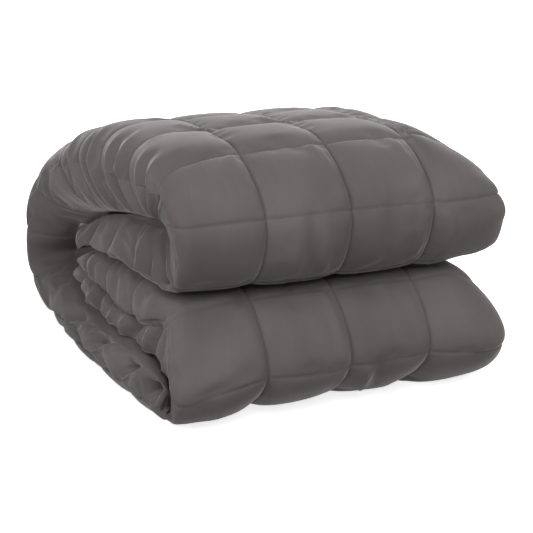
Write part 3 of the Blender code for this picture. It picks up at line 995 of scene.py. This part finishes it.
def brushed_cloth():
    """Brushed microfibre: a fine weave under a short pile that lies in patches, with painted shade
    along the grooves of its seams.
    """
    made = Nodes("brushed_cloth")
    cloth = made.add("ShaderNodeUVMap", uv_map="cloth").outputs["UV"]

    def stretched(scale):
        return made.output("ShaderNodeMapping", "Vector", {"Vector": cloth, "Scale": scale})

    def noise(vector, scale, detail):
        return made.output("ShaderNodeTexNoise", "Fac",
                           {"Vector": vector, "Scale": scale, "Detail": detail})

    def yarns(direction):
        return made.output("ShaderNodeTexWave", "Fac",
                           {"Vector": cloth, "Scale": WEAVE, "Distortion": 0.6},
                           bands_direction=direction)

    def ranged(value, **limits):
        limits = {name.replace("_", " "): limit for name, limit in limits.items()}
        return made.output("ShaderNodeMapRange", "Result", {"Value": value, **limits})

    patches = noise(cloth, PATCHES, 3.0)
    streaks = noise(stretched((1.0, 0.25, 1.0)), STREAKS, 2.0)
    pile = noise(stretched((1.0, 0.45, 1.0)), PILE, 3.0)
    weave = made.maths("MULTIPLY", yarns("X"), yarns("Y"))
    tone = ranged(made.blended((patches, 0.88), (streaks, 0.12)), From_Min=0.35, From_Max=0.65)
    # painted shade: the seam layer darkens the colour in the grooves of the seams
    seam = made.add("ShaderNodeAttribute", attribute_name="seam").outputs["Fac"]
    colour = made.mixed(seam, made.mixed(tone, CLOTH_DARK, CLOTH_LIGHT), PAINTED_SEAM_SHADE_COLOUR)
    relief = made.blended((pile, 0.7), (weave, 0.5), (streaks, 0.5))
    bump = made.output("ShaderNodeBump", "Normal",
                       {"Height": relief, "Strength": 0.35, "Distance": 0.0006})
    return made.finish(Base_Color=colour, Normal=bump,
                       Roughness=ranged(pile, To_Min=0.82, To_Max=0.96),
                       Specular_IOR_Level=0.25, Sheen_Weight=0.6, Sheen_Roughness=0.25,
                       Sheen_Tint=SHEEN_COLOUR)


def thread():
    """Twisted polyester thread, a little shinier than the cloth."""
    made = Nodes("thread")
    place = made.add("ShaderNodeTexCoord").outputs["Object"]
    twist = made.output("ShaderNodeTexWave", "Fac",
                        {"Vector": place, "Scale": TWIST, "Distortion": 2.0})
    bump = made.output("ShaderNodeBump", "Normal",
                       {"Height": twist, "Strength": 0.4, "Distance": 0.0002})
    return made.finish(Base_Color=THREAD_COLOUR, Roughness=0.6, Normal=bump)


# ---------------------------------------------------------------- stage, light and camera

# The camera was fitted to the seam crossings of the photograph.
CAMERA_AZIMUTH = -22.4
CAMERA_ELEVATION = 16.6
CAMERA_DISTANCE = 1.7018
CAMERA_TARGET = (0.0, 0.16933, 0.11007)
CAMERA_LENS = 89.97
SENSOR_WIDTH = 36.0

FLOOR_SIZE = 60.0              # metres from the middle to an edge
FLOOR_HEIGHT = -0.0005         # just under the blanket
FLOOR_COLOUR = (0.92, 0.92, 0.92, 1.0)
FLOOR_GLOW = 0.75
WHITE = (1.0, 1.0, 1.0, 1.0)

SKY, GROUND = 0.30, 0.28       # brightness of the studio above and below the horizon
HORIZON = 0.15                 # half the height over which they meet

LIGHT_AIM = (0.0, 0.0, 0.15)
# Each light: its place, its size in metres and its power in watts.
LIGHTS = {
    "key": ((0.9, 1.9, 1.4), 0.9, 46.0),
    "front": ((-0.3, -2.2, 1.8), 1.2, 36.0),
    "left": ((-2.0, -0.9, 1.2), 0.9, 20.0),
    "right": ((2.2, -0.4, 1.0), 0.9, 14.0),
}


def point_at(made, place, direction):
    """Moves a light or the camera to a place, and turns it to a direction."""
    made.location = place
    made.rotation_mode = "QUATERNION"
    made.rotation_quaternion = direction.to_track_quat("-Z", "Y")


def add_camera():
    """The camera of the photograph."""
    azimuth, elevation = math.radians(CAMERA_AZIMUTH), math.radians(CAMERA_ELEVATION)
    back = Vector((math.sin(azimuth) * math.cos(elevation),
                   -math.cos(azimuth) * math.cos(elevation), math.sin(elevation)))
    target = Vector(CAMERA_TARGET) - Vector(MIDDLE) * SQUARE
    data = bpy.data.cameras.new("camera")
    data.sensor_width = SENSOR_WIDTH
    data.lens = CAMERA_LENS
    camera = add_object("camera", data)
    point_at(camera, target + back * CAMERA_DISTANCE, -back)
    bpy.context.scene.camera = camera


def add_lights():
    """Square area lights, all turned to the blanket."""
    for name, (place, size, power) in LIGHTS.items():
        data = bpy.data.lights.new(name, "AREA")
        data.size = size
        data.energy = power
        point_at(add_object(name, data), place, Vector(LIGHT_AIM) - Vector(place))


def add_floor():
    """A pale floor that catches shadows but throws no light up under the blanket."""
    size, height = FLOOR_SIZE, FLOOR_HEIGHT
    corners = [(x * size, y * size, height) for x, y in ((-1, -1), (1, -1), (1, 1), (-1, 1))]
    mesh = bpy.data.meshes.new("floor")
    mesh.from_pydata(corners, [], [(0, 1, 2, 3)])
    mesh.materials.append(Nodes("floor").finish(
        Base_Color=FLOOR_COLOUR, Roughness=0.9, Emission_Color=WHITE, Emission_Strength=FLOOR_GLOW))
    floor = add_object("floor", mesh)
    floor.visible_diffuse = False
    floor.visible_shadow = False


def add_world():
    """The light of the studio around, a little brighter above the horizon."""
    world = bpy.data.worlds.new("studio")
    world.use_nodes = True
    nodes, links = world.node_tree.nodes, world.node_tree.links
    place = nodes.new("ShaderNodeTexCoord")
    split = nodes.new("ShaderNodeSeparateXYZ")
    ramp = nodes.new("ShaderNodeMapRange")
    limits = {"From Min": -HORIZON, "From Max": HORIZON, "To Min": GROUND, "To Max": SKY}
    for name, value in limits.items():
        ramp.inputs[name].default_value = value
    links.new(place.outputs["Generated"], split.inputs["Vector"])
    links.new(split.outputs["Z"], ramp.inputs["Value"])
    links.new(ramp.outputs["Result"], nodes["Background"].inputs["Strength"])
    nodes["Background"].inputs["Color"].default_value = WHITE
    bpy.context.scene.world = world
    bpy.context.scene.view_settings.view_transform = "Standard"


# ---------------------------------------------------------------- the scene

rows, points, across = skin()
mesh = blanket_mesh(points, rows, across)
mesh.materials.append(brushed_cloth())
blanket = add_object("blanket_shell", mesh)
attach(blanket, "root")
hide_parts("weighted_blanket")

mesh = stitch_mesh(points, rows, across)
mesh.materials.append(thread())
stitches = add_object("stitches", mesh)
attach(stitches, "root")

add_world()
add_floor()
add_camera()
add_lights()
